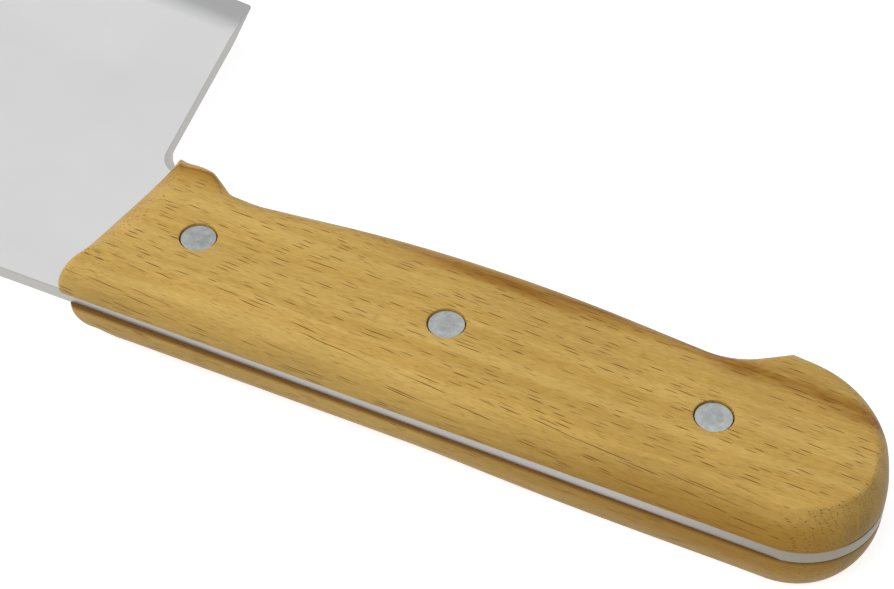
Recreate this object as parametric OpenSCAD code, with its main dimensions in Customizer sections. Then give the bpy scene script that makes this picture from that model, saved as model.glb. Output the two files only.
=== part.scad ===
// Chinese cleaver: a broad full tang blade between two beech scales, held by three two-piece rivets.
// It lies on its side: +X runs from the toe of the blade to the butt of the handle,
// +Y runs from the spine to the cutting edge, and +Z is square to the blade.
// The shape is drawn from the middle rivet's axis in the blade's middle plane.
// Each piece is then moved, so that the origin is the bottom centre of the whole knife.

/* [Blade] */
// Length of the blade from the front of the handle to the toe
blade_length = 200; // [130:1:260]
// Depth of the blade at the heel, from the spine to the cutting edge
heel_depth = 74.8; // [60:0.1:110]
// Thickness of the steel plate, for blade and tang alike
plate_thickness = 2.3; // [1.5:0.1:4]
// Radius of the slight belly along the cutting edge
belly_radius = 1000; // [600:10:3000]
// Width of the ground bevel on each side, from the plate's face to the cutting edge
bevel_width = 9.5; // [4:0.1:20]
// Thickness left at the cutting edge
edge_thickness = 0.3; // [0.1:0.05:0.6]
// Lean of the heel towards the toe, in degrees
heel_lean = 8.8; // [0:0.1:15]
// Gap along the rivet line from the front of the handle to the foot of the heel
heel_setback = 0.2; // [-2:0.1:4]
// Radius of the corner between the heel and the cutting edge
heel_corner_radius = 2; // [0.5:0.1:6]
// Radius of the hollow where the heel runs into the handle
choil_radius = 4.5; // [1:0.1:5]
// How far the heel's inner corner lies below the handle's front tip
choil_drop = 1; // [0:0.1:2]
// Radius of the toe's corner at the cutting edge
toe_edge_radius = 6; // [1:0.5:15]
// Radius of the toe's corner at the spine
toe_spine_radius = 3; // [1:0.5:15]

/* [Handle outline] */
// Length of the handle along the spine, corner to corner
handle_length = 131.3; // [120:0.1:160]
// Height of the rivet line above the tang's spine
rivet_line_height = 12.7; // [10:0.1:16]
// How far the wood stands past the tang's spine at the front of the handle
front_overhang = 0.6; // [0:0.1:1.5]
// How far the wood stands past the tang's spine at the butt
butt_overhang = 0.1; // [0:0.1:1.5]
// Radius of the front corner at the spine
front_corner_radius = 1.2; // [1:0.1:6]
// How far back the front tip lies behind the front corner at the spine
front_slant = 4.9; // [0:0.1:8]
// How far the lower scale's front corner lies behind the upper scale's
lower_setback = 1.8; // [0:0.1:3]
// Height of the front tip above the rivet line
front_tip_height = 18.4; // [16:0.1:22]
// Radius of the front tip
front_tip_radius = 1; // [0.5:0.1:1.5]
// Distance of the front shoulder behind the front corner at the spine
shoulder_setback = 13.2; // [11:0.1:16]
// Height of the front shoulder above the rivet line
shoulder_height = 15.6; // [14.5:0.1:17]
// Radius of the front shoulder
shoulder_radius = 2; // [0.5:0.1:2.5]
// Distance from the shoulder to the finger notch behind it
notch_run = 4.7; // [2.5:0.1:8]
// Height of the finger notch above the rivet line
notch_height = 12.7; // [10:0.1:14]
// Radius in the finger notch
notch_radius = 3; // [1:0.1:4]
// Height above the rivet line of the corner that the palm swell is rounded from
palm_height = 17.9; // [15:0.1:21]
// Place of the palm swell, ahead of the middle rivet
palm_forward = 0.7; // [-10:0.1:10]
// Radius of the palm swell
palm_radius = 218; // [100:1:300]
// Height above the rivet line of the hollow ahead of the beak
hollow_height = 13.6; // [11:0.1:15.5]
// Distance from the beak forward to the hollow
hollow_run = 7.9; // [5:0.1:12]
// Radius of the hollow ahead of the beak
hollow_radius = 10; // [4:0.1:12]
// Height of the beak above the rivet line
beak_height = 18.7; // [17:0.1:22]
// Distance of the beak from the butt
beak_setback = 21.4; // [18:0.1:28]
// Radius of the beak's tip
beak_radius = 1.5; // [0.5:0.1:3]
// Height above the rivet line of the corner that the butt is rounded from
butt_height = 16.9; // [14:0.1:20]
// How far that corner lies ahead of the one at the spine
butt_slant = 2.9; // [0:0.1:5]
// Radius of the butt on the finger side
butt_finger_radius = 19.2; // [8:0.1:20]
// Radius of the butt at the spine
butt_spine_radius = 12.9; // [6:0.1:15]

/* [Handle section] */
// Thickness of each beech scale
scale_thickness = 7.85; // [6:0.05:12]
// Height of the upright wall next to the tang
wall_height = 0.8; // [0.3:0.1:2]
// How far the roundover reaches in along the grip
grip_round = 5.6; // [3:0.1:7]
// How far the roundover reaches in at the butt
butt_round = 4.5; // [2:0.1:6]
// How far the roundover reaches in at the front
front_round = 7.2; // [3:0.1:9]
// How much less the roundover reaches in at the butt's crease
crease_tuck = 2.5; // [0:0.1:3]
// How far the roundover reaches in on the front hump
hump_round = 3.7; // [2:0.1:5]
// Slope of the wall below the crease at the butt
crease_draft = 0.14; // [0:0.01:0.2]
// Fullness of the roundover along the grip, where 2 is a quarter ellipse and more is squarer
grip_fullness = 2; // [1.5:0.1:4]
// Fullness of the roundover at the butt
butt_fullness = 2.4; // [1.5:0.1:4]
// Fullness of the roundover at the crease
crease_fullness = 3.5; // [2:0.1:6]
// Fullness of the roundover at the front, where 1 is a straight chamfer
front_fullness = 1.7; // [1.1:0.1:3]
// Fullness of the roundover on the front hump
hump_fullness = 2.9; // [1.5:0.1:4]
// Distance over which the front's roundover turns into the grip's
front_blend = 9.5; // [4:0.1:15]
// Distance over which the hump's roundover turns into the grip's
hump_blend = 11; // [5:0.1:13]
// Distance over which the grip's roundover turns into the butt's
butt_blend = 60; // [20:1:70]

/* [Rivets] */
// Distance of the front rivet from the front of the handle
front_rivet_setback = 18.8; // [15:0.1:26]
// Distance of the rear rivet from the butt
rear_rivet_setback = 27.6; // [22:0.1:36]
// Diameter of the rivet heads
head_diameter = 5.6; // [5:0.1:8]
// Thickness of the rivet heads
head_thickness = 1.2; // [0.8:0.1:2]
// How deep the heads lie below the wood's face
head_sink = 0.3; // [0:0.05:1]
// Gap round each head in its seat
seat_clearance = 0.2; // [0.05:0.05:0.4]
// Outer diameter of the sleeves
sleeve_diameter = 3.8; // [3.2:0.1:4.2]
// Diameter of the posts, which the sleeves are bored for
post_diameter = 2.6; // [1.8:0.1:2.8]
// Gap round the sleeves in the wood and the tang
sleeve_clearance = 0.1; // [0.05:0.05:0.2]
// Gap round the posts in the sleeves
post_clearance = 0.03; // [0.02:0.01:0.08]
// Free length left at the end of the sleeves and of the posts
end_clearance = 0.8; // [0.4:0.1:1.5]
// Diameter of the dimple in the middle of each head
dimple_diameter = 1; // [0.5:0.1:1.5]
// Depth of the dimple
dimple_depth = 0.3; // [0.1:0.05:0.6]
// Chamfer round the rim of each head
head_chamfer = 0.15; // [0.05:0.05:0.3]

/* [Hidden] */

steel_color = [0.80, 0.81, 0.82];
wood_color = [0.84, 0.65, 0.37];
rivet_color = [0.64, 0.67, 0.68];

// Steps of the arcs and of the straight stretches along the handle's outline
arc_step = 9;
straight_step = 3;
// Most of a side that the arcs at its two ends may use
side_in_use = 0.98;
// Steps up the roundover
round_steps = 9;
// Segments of the circles
round_segments = 64;
disc_segments = 720;
// Half of the outline's length over which the inward direction is averaged
direction_reach = 14;

// Rivet row, with the middle rivet at x = 0
rivet_pitch = (handle_length - front_rivet_setback - rear_rivet_setback) / 2;
front_x = -rivet_pitch - front_rivet_setback;
butt_x = rivet_pitch + rear_rivet_setback;
spine_y = -rivet_line_height;
face_z = plate_thickness / 2 + scale_thickness;

function unit(v) = v / norm(v);
function ease(t) = let (u = max(0, min(1, t))) u * u * (3 - 2 * u);
function mix(a, b, t) = a * (1 - t) + b * t;

// Half of the angle at p between its neighbours a and b
function half_angle(a, p, b) = acos(unit(a - p) * unit(b - p)) / 2;

// Arc that rounds corner p between its neighbours a and b, and touches both sides at a given reach from p
function corner_arc(a, p, b, reach) =
    let (
        half = half_angle(a, p, b),
        r = reach * tan(half),
        centre = p + unit(unit(a - p) + unit(b - p)) * r / sin(half),
        first = p + unit(a - p) * reach - centre,
        start = atan2(first.y, first.x),
        turn = (180 - 2 * half) * sign(cross(p - a, b - p)),
        steps = max(2, ceil(abs(turn) / arc_step), ceil(abs(turn) * PI / 180 * r / straight_step))
    )
    [for (k = [0 : steps]) centre + r * [cos(start + turn * k / steps), sin(start + turn * k / steps)]];

// Points between two arcs, ends left out
function between(a, b) =
    let (steps = ceil(norm(b - a) / straight_step))
    steps < 2 ? [] : [for (k = [1 : steps - 1]) mix(a, b, k / steps)];

// Closed outline through corners given as [x, y, radius], where a radius of 0 leaves a sharp corner;
// where two arcs need more than the side between them, both are made smaller in the same ratio
function rounded_outline(corners) =
    let (
        n = len(corners),
        points = [for (c = corners) [c.x, c.y]],
        before = [for (i = [0 : n - 1]) points[(i + n - 1) % n]],
        after = [for (i = [0 : n - 1]) points[(i + 1) % n]],
        wanted = [for (i = [0 : n - 1]) corners[i].z / tan(half_angle(before[i], points[i], after[i]))],
        share = [for (i = [0 : n - 1])
            min(1, side_in_use * norm(after[i] - points[i]) / (wanted[i] + wanted[(i + 1) % n]))],
        arcs = [for (i = [0 : n - 1])
            wanted[i] == 0 ? [points[i]] :
            corner_arc(before[i], points[i], after[i], wanted[i] * min(share[i], share[(i + n - 1) % n]))]
    )
    [for (i = [0 : n - 1])
        each concat(arcs[i], between(arcs[i][len(arcs[i]) - 1], arcs[(i + 1) % n][0]))];

// Corners of the handle, counter-clockwise from the front corner at the spine
shoulder_x = front_x + shoulder_setback;
beak_x = butt_x - beak_setback;
handle_corners = [
    [front_x, spine_y - front_overhang, front_corner_radius],
    [butt_x, spine_y - butt_overhang, butt_spine_radius],
    [butt_x - butt_slant, butt_height, butt_finger_radius],
    [beak_x, beak_height, beak_radius],
    [beak_x - hollow_run, hollow_height, hollow_radius],
    [-palm_forward, palm_height, palm_radius],
    [shoulder_x + notch_run, notch_height, notch_radius],
    [shoulder_x, shoulder_height, shoulder_radius],
    [front_x + front_slant, front_tip_height, front_tip_radius],
];
outline = rounded_outline(handle_corners);
outline_count = len(outline);

// Length along the outline up to each of its points, and the outline as a function of that length
run = [for (i = 0, s = 0; i <= outline_count;
            s = s + norm(outline[(i + 1) % outline_count] - outline[i % outline_count]), i = i + 1) s];
outline_length = run[outline_count];
x_along = [for (i = [0 : outline_count]) [run[i], outline[i % outline_count].x]];
y_along = [for (i = [0 : outline_count]) [run[i], outline[i % outline_count].y]];
function wrapped(s) = s < 0 ? s + outline_length : s > outline_length ? s - outline_length : s;
function outline_at(s) = [lookup(wrapped(s), x_along), lookup(wrapped(s), y_along)];

// Inward direction at each point: square to the chord that joins the outline before and after it
inward = [for (i = [0 : outline_count - 1])
    let (chord = unit(outline_at(run[i] + direction_reach) - outline_at(run[i] - direction_reach)))
    [-chord.y, chord.x]];

// Share of the section of the butt, the crease, the front and the hump at a point of the outline
butt_blend_start = butt_x - rivet_line_height - butt_blend;
crease_top = 10.5;
crease_blend = 9.1;
function front_line_x(y) =
    front_x + front_slant * (y - spine_y) / (front_tip_height - spine_y);
function butt_share(p) = ease((p.x - butt_blend_start) / butt_blend);
function crease_share(p) = butt_share(p) * ease((crease_top - p.y) / crease_blend);
function front_share(p) = 1 - ease((p.x - front_line_x(p.y)) / front_blend);
function hump_share(p) =
    ease(1 + (p.y - notch_height) / hump_blend) * (1 - ease((p.x - shoulder_x) / hump_blend));

// Reach and fullness of the roundover at a point of the outline
function round_reach(p) =
    mix(mix(mix(grip_round, butt_round, butt_share(p)) - crease_tuck * crease_share(p),
            hump_round, hump_share(p)),
        front_round, front_share(p));
function fullness(p) =
    mix(mix(mix(mix(grip_fullness, butt_fullness, butt_share(p)), crease_fullness, crease_share(p)),
            hump_fullness, hump_share(p)),
        front_fullness, front_share(p));

// Point moved back near the front: by the whole setback at the spine, and less towards the tip
setback_blend = 12;
function set_back(x, y, z, setback) =
    let (
        rise = max(0, min(1, (y - spine_y) / (front_tip_height - spine_y))),
        behind = ease((x - front_line_x(y)) / setback_blend)
    )
    [x + setback * (1 - rise) * (1 - behind), y, z];

// Point of the scale's surface over outline point i, at angle a up its superellipse
function scale_point(i, a, setback) =
    let (
        p = outline[i],
        power = 2 / fullness(p),
        z = wall_height + (scale_thickness - wall_height) * pow(sin(a), power),
        inset = round_reach(p) * (1 - pow(cos(a), power)) + crease_draft * crease_share(p) * z,
        q = p + inward[i] * inset
    )
    set_back(q.x, q.y, z, setback);

// Row of hubs along the rivet line, which the flat faces are fanned out from, and each point's own hub
hubs_each_side = 4;
hub_pitch = rivet_pitch / hubs_each_side;
hubs = [for (k = [-hubs_each_side : hubs_each_side]) k * hub_pitch];
function hub_of(i) = hubs_each_side + round(max(-hubs_each_side, min(hubs_each_side, outline[i].x / hub_pitch)));

// Triangles of a flat face, from the ring that starts at point ring to the row that starts at point row
function fans(ring, row) = [for (i = [0 : outline_count - 1])
    let (
        next = (i + 1) % outline_count,
        hub = row + hub_of(i),
        next_hub = row + hub_of(next)
    )
    each concat([[ring + i, ring + next, next_hub]], hub == next_hub ? [] : [[ring + i, next_hub, hub]])];
function turned(faces) = [for (face = faces) [face[0], face[2], face[1]]];

// Solid scale: its flat inner face at z = 0, an upright wall, the roundover and the flat outer face
module scale_body(setback) {
    layers = concat(
        [[for (p = outline) set_back(p.x, p.y, 0, setback)]],
        [for (k = [0 : round_steps])
            [for (i = [0 : outline_count - 1]) scale_point(i, 90 * k / round_steps, setback)]]
    );
    last = len(layers) - 1;
    n = outline_count;
    rows = [for (z = [0, scale_thickness]) each [for (x = hubs) [x, 0, z]]];
    inner_row = (last + 1) * n;
    sides = [for (k = [0 : last - 1], i = [0 : n - 1])
        each [[k * n + i, (k + 1) * n + i, (k + 1) * n + (i + 1) % n],
              [k * n + i, (k + 1) * n + (i + 1) % n, k * n + (i + 1) % n]]];
    polyhedron(
        concat([for (layer = layers) each layer], rows),
        concat(fans(0, inner_row), turned(fans(last * n, inner_row + len(hubs))), sides),
        convexity = 4);
}

// Rivet places and heights
rivet_x = [-rivet_pitch, 0, rivet_pitch];
seat_diameter = head_diameter + 2 * seat_clearance;
seat_z = face_z - head_sink - head_thickness;
hole_diameter = sleeve_diameter + 2 * sleeve_clearance;
sleeve_bore = post_diameter + 2 * post_clearance;
overcut = 1;

// Stepped holes for the three rivets, from the inner face of one scale outwards
module rivet_holes() {
    for (x = rivet_x) {
        translate([x, 0, -overcut])
            cylinder(d = hole_diameter, h = scale_thickness + 2 * overcut, $fn = round_segments);
        translate([x, 0, seat_z - plate_thickness / 2])
            cylinder(d = seat_diameter, h = scale_thickness + overcut, $fn = round_segments);
    }
}

module scale(setback) {
    translate([0, 0, plate_thickness / 2])
        difference() {
            scale_body(setback);
            rivet_holes();
        }
}

// Blade outline, with the belly as an arc between the heel and the toe
heel_foot_x = front_x + heel_setback;
choil_y = front_tip_height - choil_drop;
heel_y = spine_y + heel_depth;
heel_x = heel_foot_x - (heel_y - choil_y) * tan(heel_lean);
toe_x = front_x - blade_length;
belly_x = (heel_x + toe_x) / 2;
half_edge = (heel_x - toe_x) / 2;
belly_centre_y = heel_y - sqrt(belly_radius * belly_radius - half_edge * half_edge);
tangent_peak_y = heel_y + half_edge * half_edge / (heel_y - belly_centre_y);
tang_root_x = front_x + front_slant + front_tip_radius;
blade_corners = [
    [toe_x, spine_y, toe_spine_radius],
    [tang_root_x, spine_y, 0],
    [tang_root_x, front_tip_height - front_tip_radius, 0],
    [heel_foot_x, choil_y, choil_radius],
    [heel_x, heel_y, heel_corner_radius],
    [belly_x, tangent_peak_y, 0],
    [toe_x, heel_y, toe_edge_radius],
];

// Flat disc that thins towards its rim, which gives the belly and the ground bevels
module ground_disc() {
    bevel_start = belly_radius - bevel_width;
    translate([belly_x, belly_centre_y, 0])
        rotate_extrude($fn = disc_segments)
            polygon([
                [0, -plate_thickness / 2],
                [bevel_start, -plate_thickness / 2],
                [belly_radius, -edge_thickness / 2],
                [belly_radius, edge_thickness / 2],
                [bevel_start, plate_thickness / 2],
                [0, plate_thickness / 2],
            ]);
}

module plate(points) {
    translate([0, 0, -plate_thickness / 2])
        linear_extrude(plate_thickness)
            polygon(points);
}

// The tang follows the handle's outline, with its spine in line with the blade's
module tang_plate() {
    plate([for (p = outline) [p.x, max(p.y, spine_y)]]);
}

module blade_plate() {
    intersection() {
        plate(rounded_outline(blade_corners));
        ground_disc();
    }
}

// Two-piece rivet: a post with a solid pin, and a sleeve bored for it, each with a flat dimpled head
sleeve_length = 2 * seat_z - end_clearance;
bore_depth = sleeve_length - end_clearance;
post_length = bore_depth;

function head_profile(inner) = [
    [head_diameter / 2, inner],
    [head_diameter / 2, inner + head_thickness - head_chamfer],
    [head_diameter / 2 - head_chamfer, inner + head_thickness],
    [dimple_diameter / 2, inner + head_thickness],
    [0, inner + head_thickness - dimple_depth],
];

module rivet_post() {
    rotate_extrude($fn = round_segments)
        polygon(concat(
            [[0, seat_z - post_length], [post_diameter / 2, seat_z - post_length], [post_diameter / 2, seat_z]],
            head_profile(seat_z)));
}

module rivet_sleeve() {
    tip_z = seat_z - sleeve_length;
    floor_z = tip_z + bore_depth;
    mirror([0, 0, 1])
        rotate_extrude($fn = round_segments)
            polygon(concat(
                [[0, floor_z], [sleeve_bore / 2, floor_z], [sleeve_bore / 2, tip_z],
                 [sleeve_diameter / 2, tip_z], [sleeve_diameter / 2, seat_z]],
                head_profile(seat_z)));
}

// Moves a piece from the middle rivet to the bottom centre of the whole knife
y_low = min([for (p = outline) p.y]);
y_high = belly_centre_y + belly_radius;
x_high = max([for (p = outline) p.x]);
module placed() {
    translate([-(toe_x + x_high) / 2, -(y_low + y_high) / 2, face_z])
        children();
}

module blade() {
    color(steel_color)
        placed()
            difference() {
                union() {
                    blade_plate();
                    tang_plate();
                }
                for (x = rivet_x)
                    translate([x, 0, -plate_thickness])
                        cylinder(d = hole_diameter, h = 2 * plate_thickness, $fn = round_segments);
            }
}

module upper_scale() {
    color(wood_color)
        placed()
            scale(0);
}

module lower_scale() {
    color(wood_color)
        placed()
            mirror([0, 0, 1])
                scale(lower_setback);
}

module placed_post(x) {
    color(rivet_color)
        placed()
            translate([x, 0, 0])
                rivet_post();
}

module placed_sleeve(x) {
    color(rivet_color)
        placed()
            translate([x, 0, 0])
                rivet_sleeve();
}

module front_rivet_post() { placed_post(rivet_x[0]); }
module middle_rivet_post() { placed_post(rivet_x[1]); }
module rear_rivet_post() { placed_post(rivet_x[2]); }
module front_rivet_sleeve() { placed_sleeve(rivet_x[0]); }
module middle_rivet_sleeve() { placed_sleeve(rivet_x[1]); }
module rear_rivet_sleeve() { placed_sleeve(rivet_x[2]); }

blade();
upper_scale();
lower_scale();
front_rivet_post();
middle_rivet_post();
rear_rivet_post();
front_rivet_sleeve();
middle_rivet_sleeve();
rear_rivet_sleeve();
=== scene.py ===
import math

import bmesh
import bpy
import numpy as np
from bpy.props import FloatProperty, FloatVectorProperty, PointerProperty
from bpy.types import NodeSocket, Operator, Panel, PropertyGroup
from mathutils import Matrix, Vector


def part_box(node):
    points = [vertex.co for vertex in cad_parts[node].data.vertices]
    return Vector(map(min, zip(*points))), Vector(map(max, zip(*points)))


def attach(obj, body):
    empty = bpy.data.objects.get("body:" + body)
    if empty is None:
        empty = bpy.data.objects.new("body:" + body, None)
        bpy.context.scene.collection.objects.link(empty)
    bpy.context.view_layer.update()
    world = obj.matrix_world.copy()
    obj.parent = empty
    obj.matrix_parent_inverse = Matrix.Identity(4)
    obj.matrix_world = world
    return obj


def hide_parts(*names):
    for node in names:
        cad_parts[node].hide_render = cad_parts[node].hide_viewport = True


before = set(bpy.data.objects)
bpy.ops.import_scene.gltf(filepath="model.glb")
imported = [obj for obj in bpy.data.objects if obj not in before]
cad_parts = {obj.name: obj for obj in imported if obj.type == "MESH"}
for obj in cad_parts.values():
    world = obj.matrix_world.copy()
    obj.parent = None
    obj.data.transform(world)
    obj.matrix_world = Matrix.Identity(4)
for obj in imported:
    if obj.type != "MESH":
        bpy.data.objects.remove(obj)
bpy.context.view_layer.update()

bl_info = {
    "name": "Chinese Cleaver",
    "version": (1, 0, 0),
    "blender": (4, 5, 0),
    "location": "3D View > Sidebar > Cleaver",
    "description": "Builds the cleaver's blade, beech scales, rivets and a plain studio round its frame",
    "category": "Add Mesh",
}

RIVET_NAMES = ("front", "middle", "rear")


def box_centre(node):
    """The middle of a CAD node's box."""
    low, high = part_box(node)
    return np.array((low + high) / 2)


# Shapes are drawn from the middle rivet's axis in the blade's middle plane, in metres: X runs to the
# butt, Y from the spine to the cutting edge, and Z square to the blade
HOME = np.array([*box_centre("middle_rivet_post")[:2], box_centre("blade")[2]])
RIVET_X = [box_centre(f"{name}_rivet_post")[0] - HOME[0] for name in RIVET_NAMES]
BETWEEN_RIVETS = [(a + b) / 2 for a, b in zip(RIVET_X, RIVET_X[1:])]
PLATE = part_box("blade")[1].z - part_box("blade")[0].z
TOE_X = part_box("blade")[0].x - HOME[0]
TOP_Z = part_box("upper_scale")[1].z - HOME[2]


def length(name, description, default):
    return FloatProperty(name=name, description=description, default=default,
                         unit="LENGTH", subtype="DISTANCE", precision=5)


def angle(name, description, default):
    return FloatProperty(name=name, description=description, default=math.radians(default),
                         unit="ROTATION", subtype="ANGLE")


def number(name, description, default):
    return FloatProperty(name=name, description=description, default=default)


def colour(name, description, default):
    return FloatVectorProperty(name=name, description=description, default=default,
                               subtype="COLOR", size=3, min=0, max=1)


class BladeSettings(PropertyGroup):
    heel_depth: length("Heel depth", "Depth of the blade at the heel", 0.0748)
    belly_radius: length("Belly radius", "Radius of the belly along the cutting edge", 1.0)
    bevel_width: length("Bevel width", "Width of the ground bevel on each side", 0.0095)
    edge_thickness: length("Edge thickness", "Thickness left at the cutting edge", 0.0003)
    heel_lean: angle("Heel lean", "Lean of the heel towards the toe", 8.8)
    heel_setback: length("Heel setback", "Gap from the front of the handle to the heel", 0.0006)
    heel_corner: length("Heel corner", "Radius between the heel and the edge", 0.0008)
    choil_radius: length("Choil radius", "Radius where the heel runs into the handle", 0.0045)
    choil_drop: length("Choil drop", "How far the choil lies below the handle's tip", 0.0016)
    choil_slant: length("Choil slant", "How much farther the far side reaches there", 0.002)
    toe_edge_radius: length("Toe at the edge", "Radius of the toe's corner at the edge", 0.006)
    toe_spine_radius: length("Toe at the spine", "Radius of the toe's corner at the spine", 0.003)
    edge_break: length("Edge break", "Radius that the plate's sharp edges are broken to", 0.00018)
    steel: colour("Steel", "Satin steel of the blade's faces", (0.66, 0.66, 0.665))
    ground: colour("Ground bevel", "Coarser steel of the ground bevels", (0.40, 0.40, 0.405))
    sheared: colour("Sheared edge", "Steel of the plate's sheared edges", (0.44, 0.43, 0.41))
    tarnished: colour("Tarnish", "The tang's edge near the butt", (0.235, 0.21, 0.155))


class HandleSettings(PropertyGroup):
    handle_length: length("Length", "Length along the spine, corner to corner", 0.1313)
    rivet_line_height: length("Rivet line", "Height of the rivets above the spine", 0.0127)
    front_overhang: length("Front overhang", "Wood past the tang's spine at the front", 0.0006)
    butt_overhang: length("Butt overhang", "Wood past the tang's spine at the butt", 0.0001)
    front_corner_radius: length("Front corner", "Radius of the front corner", 0.0012)
    front_slant: length("Front slant", "How far back the front tip lies", 0.0049)
    lower_setback: length("Lower setback", "How far the lower scale's front corner lies back", 0.0018)
    front_tip_height: length("Front tip height", "Height of the front tip above the rivets", 0.0184)
    front_tip_radius: length("Front tip radius", "Radius of the front tip", 0.0005)
    shoulder_setback: length("Shoulder setback", "Distance of the shoulder from the front", 0.0132)
    shoulder_height: length("Shoulder height", "Height of the shoulder above the rivets", 0.0156)
    shoulder_radius: length("Shoulder radius", "Radius of the shoulder", 0.002)
    notch_run: length("Notch run", "Distance from the shoulder to the notch", 0.0047)
    notch_height: length("Notch height", "Height of the finger notch above the rivets", 0.0127)
    notch_radius: length("Notch radius", "Radius in the finger notch", 0.003)
    palm_height: length("Palm height", "Height of the palm swell above the rivets", 0.0179)
    palm_forward: length("Palm forward", "How far it lies ahead of the middle rivet", 0.0007)
    palm_radius: length("Palm radius", "Radius of the palm swell", 0.218)
    hollow_height: length("Hollow height", "Height of the hollow above the rivets", 0.0136)
    hollow_run: length("Hollow run", "Distance from the beak to the hollow", 0.0079)
    hollow_radius: length("Hollow radius", "Radius of the hollow", 0.013)
    beak_height: length("Beak height", "Height of the beak above the rivets", 0.0187)
    beak_setback: length("Beak setback", "Distance of the beak from the butt", 0.0214)
    beak_radius: length("Beak radius", "Radius of the beak's tip", 0.0004)
    butt_height: length("Butt height", "Height of the butt's corner above the rivets", 0.0169)
    butt_slant: length("Butt slant", "How far that corner lies ahead of the spine's", 0.0029)
    butt_finger_radius: length("Butt, finger side", "Radius of that corner", 0.0192)
    butt_spine_radius: length("Butt, spine side", "Radius of the butt's other corner", 0.0129)
    wall_height: length("Wall height", "Height of the upright wall", 0.0008)
    grip_round: length("Grip round", "Reach of the roundover on the grip", 0.0056)
    butt_round: length("Butt round", "Reach of the roundover at the butt", 0.0045)
    front_round: length("Front round", "Reach of the roundover at the front", 0.0072)
    crease_tuck: length("Crease tuck", "How much less it reaches at the crease", 0.0025)
    hump_round: length("Hump round", "Reach of the roundover on the hump", 0.0037)
    crease_draft: number("Crease draft", "Slope of the wall below the crease", 0.14)
    crease_depth: length("Crease depth", "How far below the top the crease begins", 0.0005)
    crease_inset: length("Crease inset", "How far in from the outline the crease lies", 0.0019)
    grip_fullness: number("Grip fullness", "Fullness of the roundover along the grip", 2)
    butt_fullness: number("Butt fullness", "Fullness at the butt", 2.4)
    crease_fullness: number("Crease fullness", "Fullness at the crease", 3.5)
    front_fullness: number("Front fullness", "Fullness at the front", 1.7)
    hump_fullness: number("Hump fullness", "Fullness on the front hump", 2.9)
    front_blend: length("Front blend", "Distance over which the front blends", 0.0095)
    hump_blend: length("Hump blend", "Distance over which the hump blends", 0.011)
    butt_blend: length("Butt blend", "Distance over which the butt blends", 0.06)
    light_wood: colour("Light wood", "Early wood between the growth lines", (0.66, 0.435, 0.125))
    dark_wood: colour("Dark wood", "Late wood in the growth lines", (0.57, 0.35, 0.085))
    pore: colour("Pores", "Short dark pores", (0.19, 0.075, 0.012))
    # Dark streak in the wood along the finger side, and painted shade on the roundover there; the hump's
    # painted crease line takes this colour too
    streak_and_shade: colour("Streak", "Dark streak along the finger side", (0.30, 0.125, 0.012))
    # Painted shade: darker wood on the steep sides round the butt, at the seam and under the hump's
    # crease
    shaded_wood: colour("End wood", "Darker wood of the steep sides round the butt", (0.40, 0.19, 0.012))
    # End grain on the butt's end face, its greyer tone a painted sheen where that face is seen at a
    # grazing angle
    end_grain_and_sheen: colour("End grain", "The butt's end face", (0.33, 0.24, 0.075))
    # Painted shadow of a gap under the upper scale at the butt, which is not modelled
    gap: colour("Gap", "Dark gap under the upper scale at the butt", (0.012, 0.01, 0.008))


class RivetSettings(PropertyGroup):
    head_diameter: length("Head diameter", "Diameter of the heads", 0.0056)
    head_thickness: length("Head thickness", "Thickness of the heads", 0.0012)
    head_sink: length("Head sink", "How deep the heads lie below the wood", 0.0003)
    seat_clearance: length("Seat clearance", "Gap round each head in its seat", 0.0002)
    sleeve_diameter: length("Sleeve diameter", "Outer diameter of the sleeves", 0.0038)
    post_diameter: length("Post diameter", "Diameter of the posts", 0.0026)
    sleeve_clearance: length("Sleeve clearance", "Gap round the sleeves", 0.0001)
    post_clearance: length("Post clearance", "Gap round the posts", 0.00003)
    end_clearance: length("End clearance", "Free length at the ends", 0.0008)
    dimple_radius: length("Dimple radius", "Radius of the dimple in each head", 0.0006)
    dimple_depth: length("Dimple depth", "Depth of the dimple", 0.00015)
    rim_round: length("Rim round", "Radius round the rim of each head", 0.0001)
    dent_depth: length("Dent depth", "Depth of the dents from setting", 0.00005)
    metal: colour("Metal", "Dull aluminium of the rivets", (0.385, 0.41, 0.40))


class StudioSettings(PropertyGroup):
    azimuth: angle("Azimuth", "Direction of the camera round the knife", -64.73)
    elevation: angle("Elevation", "Height of the camera above the knife", 46.59)
    distance: length("Distance", "Depth of the middle rivet in front of the camera", 0.33246)
    aim_side: length("Aim to the side", "How far the aim lies right of the rivet", 0.000085)
    aim_rise: length("Aim above", "How far the aim lies above the rivet", 0.004219)
    lens: FloatProperty(name="Lens", description="Focal length on a 36 mm sensor", default=89.814,
                        unit="CAMERA", subtype="DISTANCE_CAMERA")
    floor_size: length("Floor size", "Width of the pale floor", 4.0)
    floor_glow: number("Floor glow", "Light that the floor adds where it is seen", 0.78)
    key_power: number("Key power", "Power of the soft overhead lamp, in watts", 5.6)
    sky_strength: number("Sky strength", "Strength of the light from all round", 0.42)


# Shapes

# Lengths too short to matter, the longest steps along an arc and a line, and how much of a side the
# arcs at its two ends may take up together
CLOSE = 1e-7
TINY = 1e-9
ARC_STEP = math.radians(3)
STRAIGHT_STEP = 0.0009
FEWEST_ARC_STEPS = 2
SIDE_IN_USE = 0.98


def unit(vectors):
    """Vectors with their own directions and a length of 1."""
    return vectors / np.linalg.norm(vectors, axis=-1, keepdims=True)


def ease(t):
    """Goes smoothly from 0 to 1 as t does: three times its square, less twice its cube."""
    t = np.clip(t, 0, 1)
    return t * t * (3 - 2 * t)


def mix(a, b, t):
    """Goes straight from a to b while t goes from 0 to 1."""
    return a * (1 - t) + b * t


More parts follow.
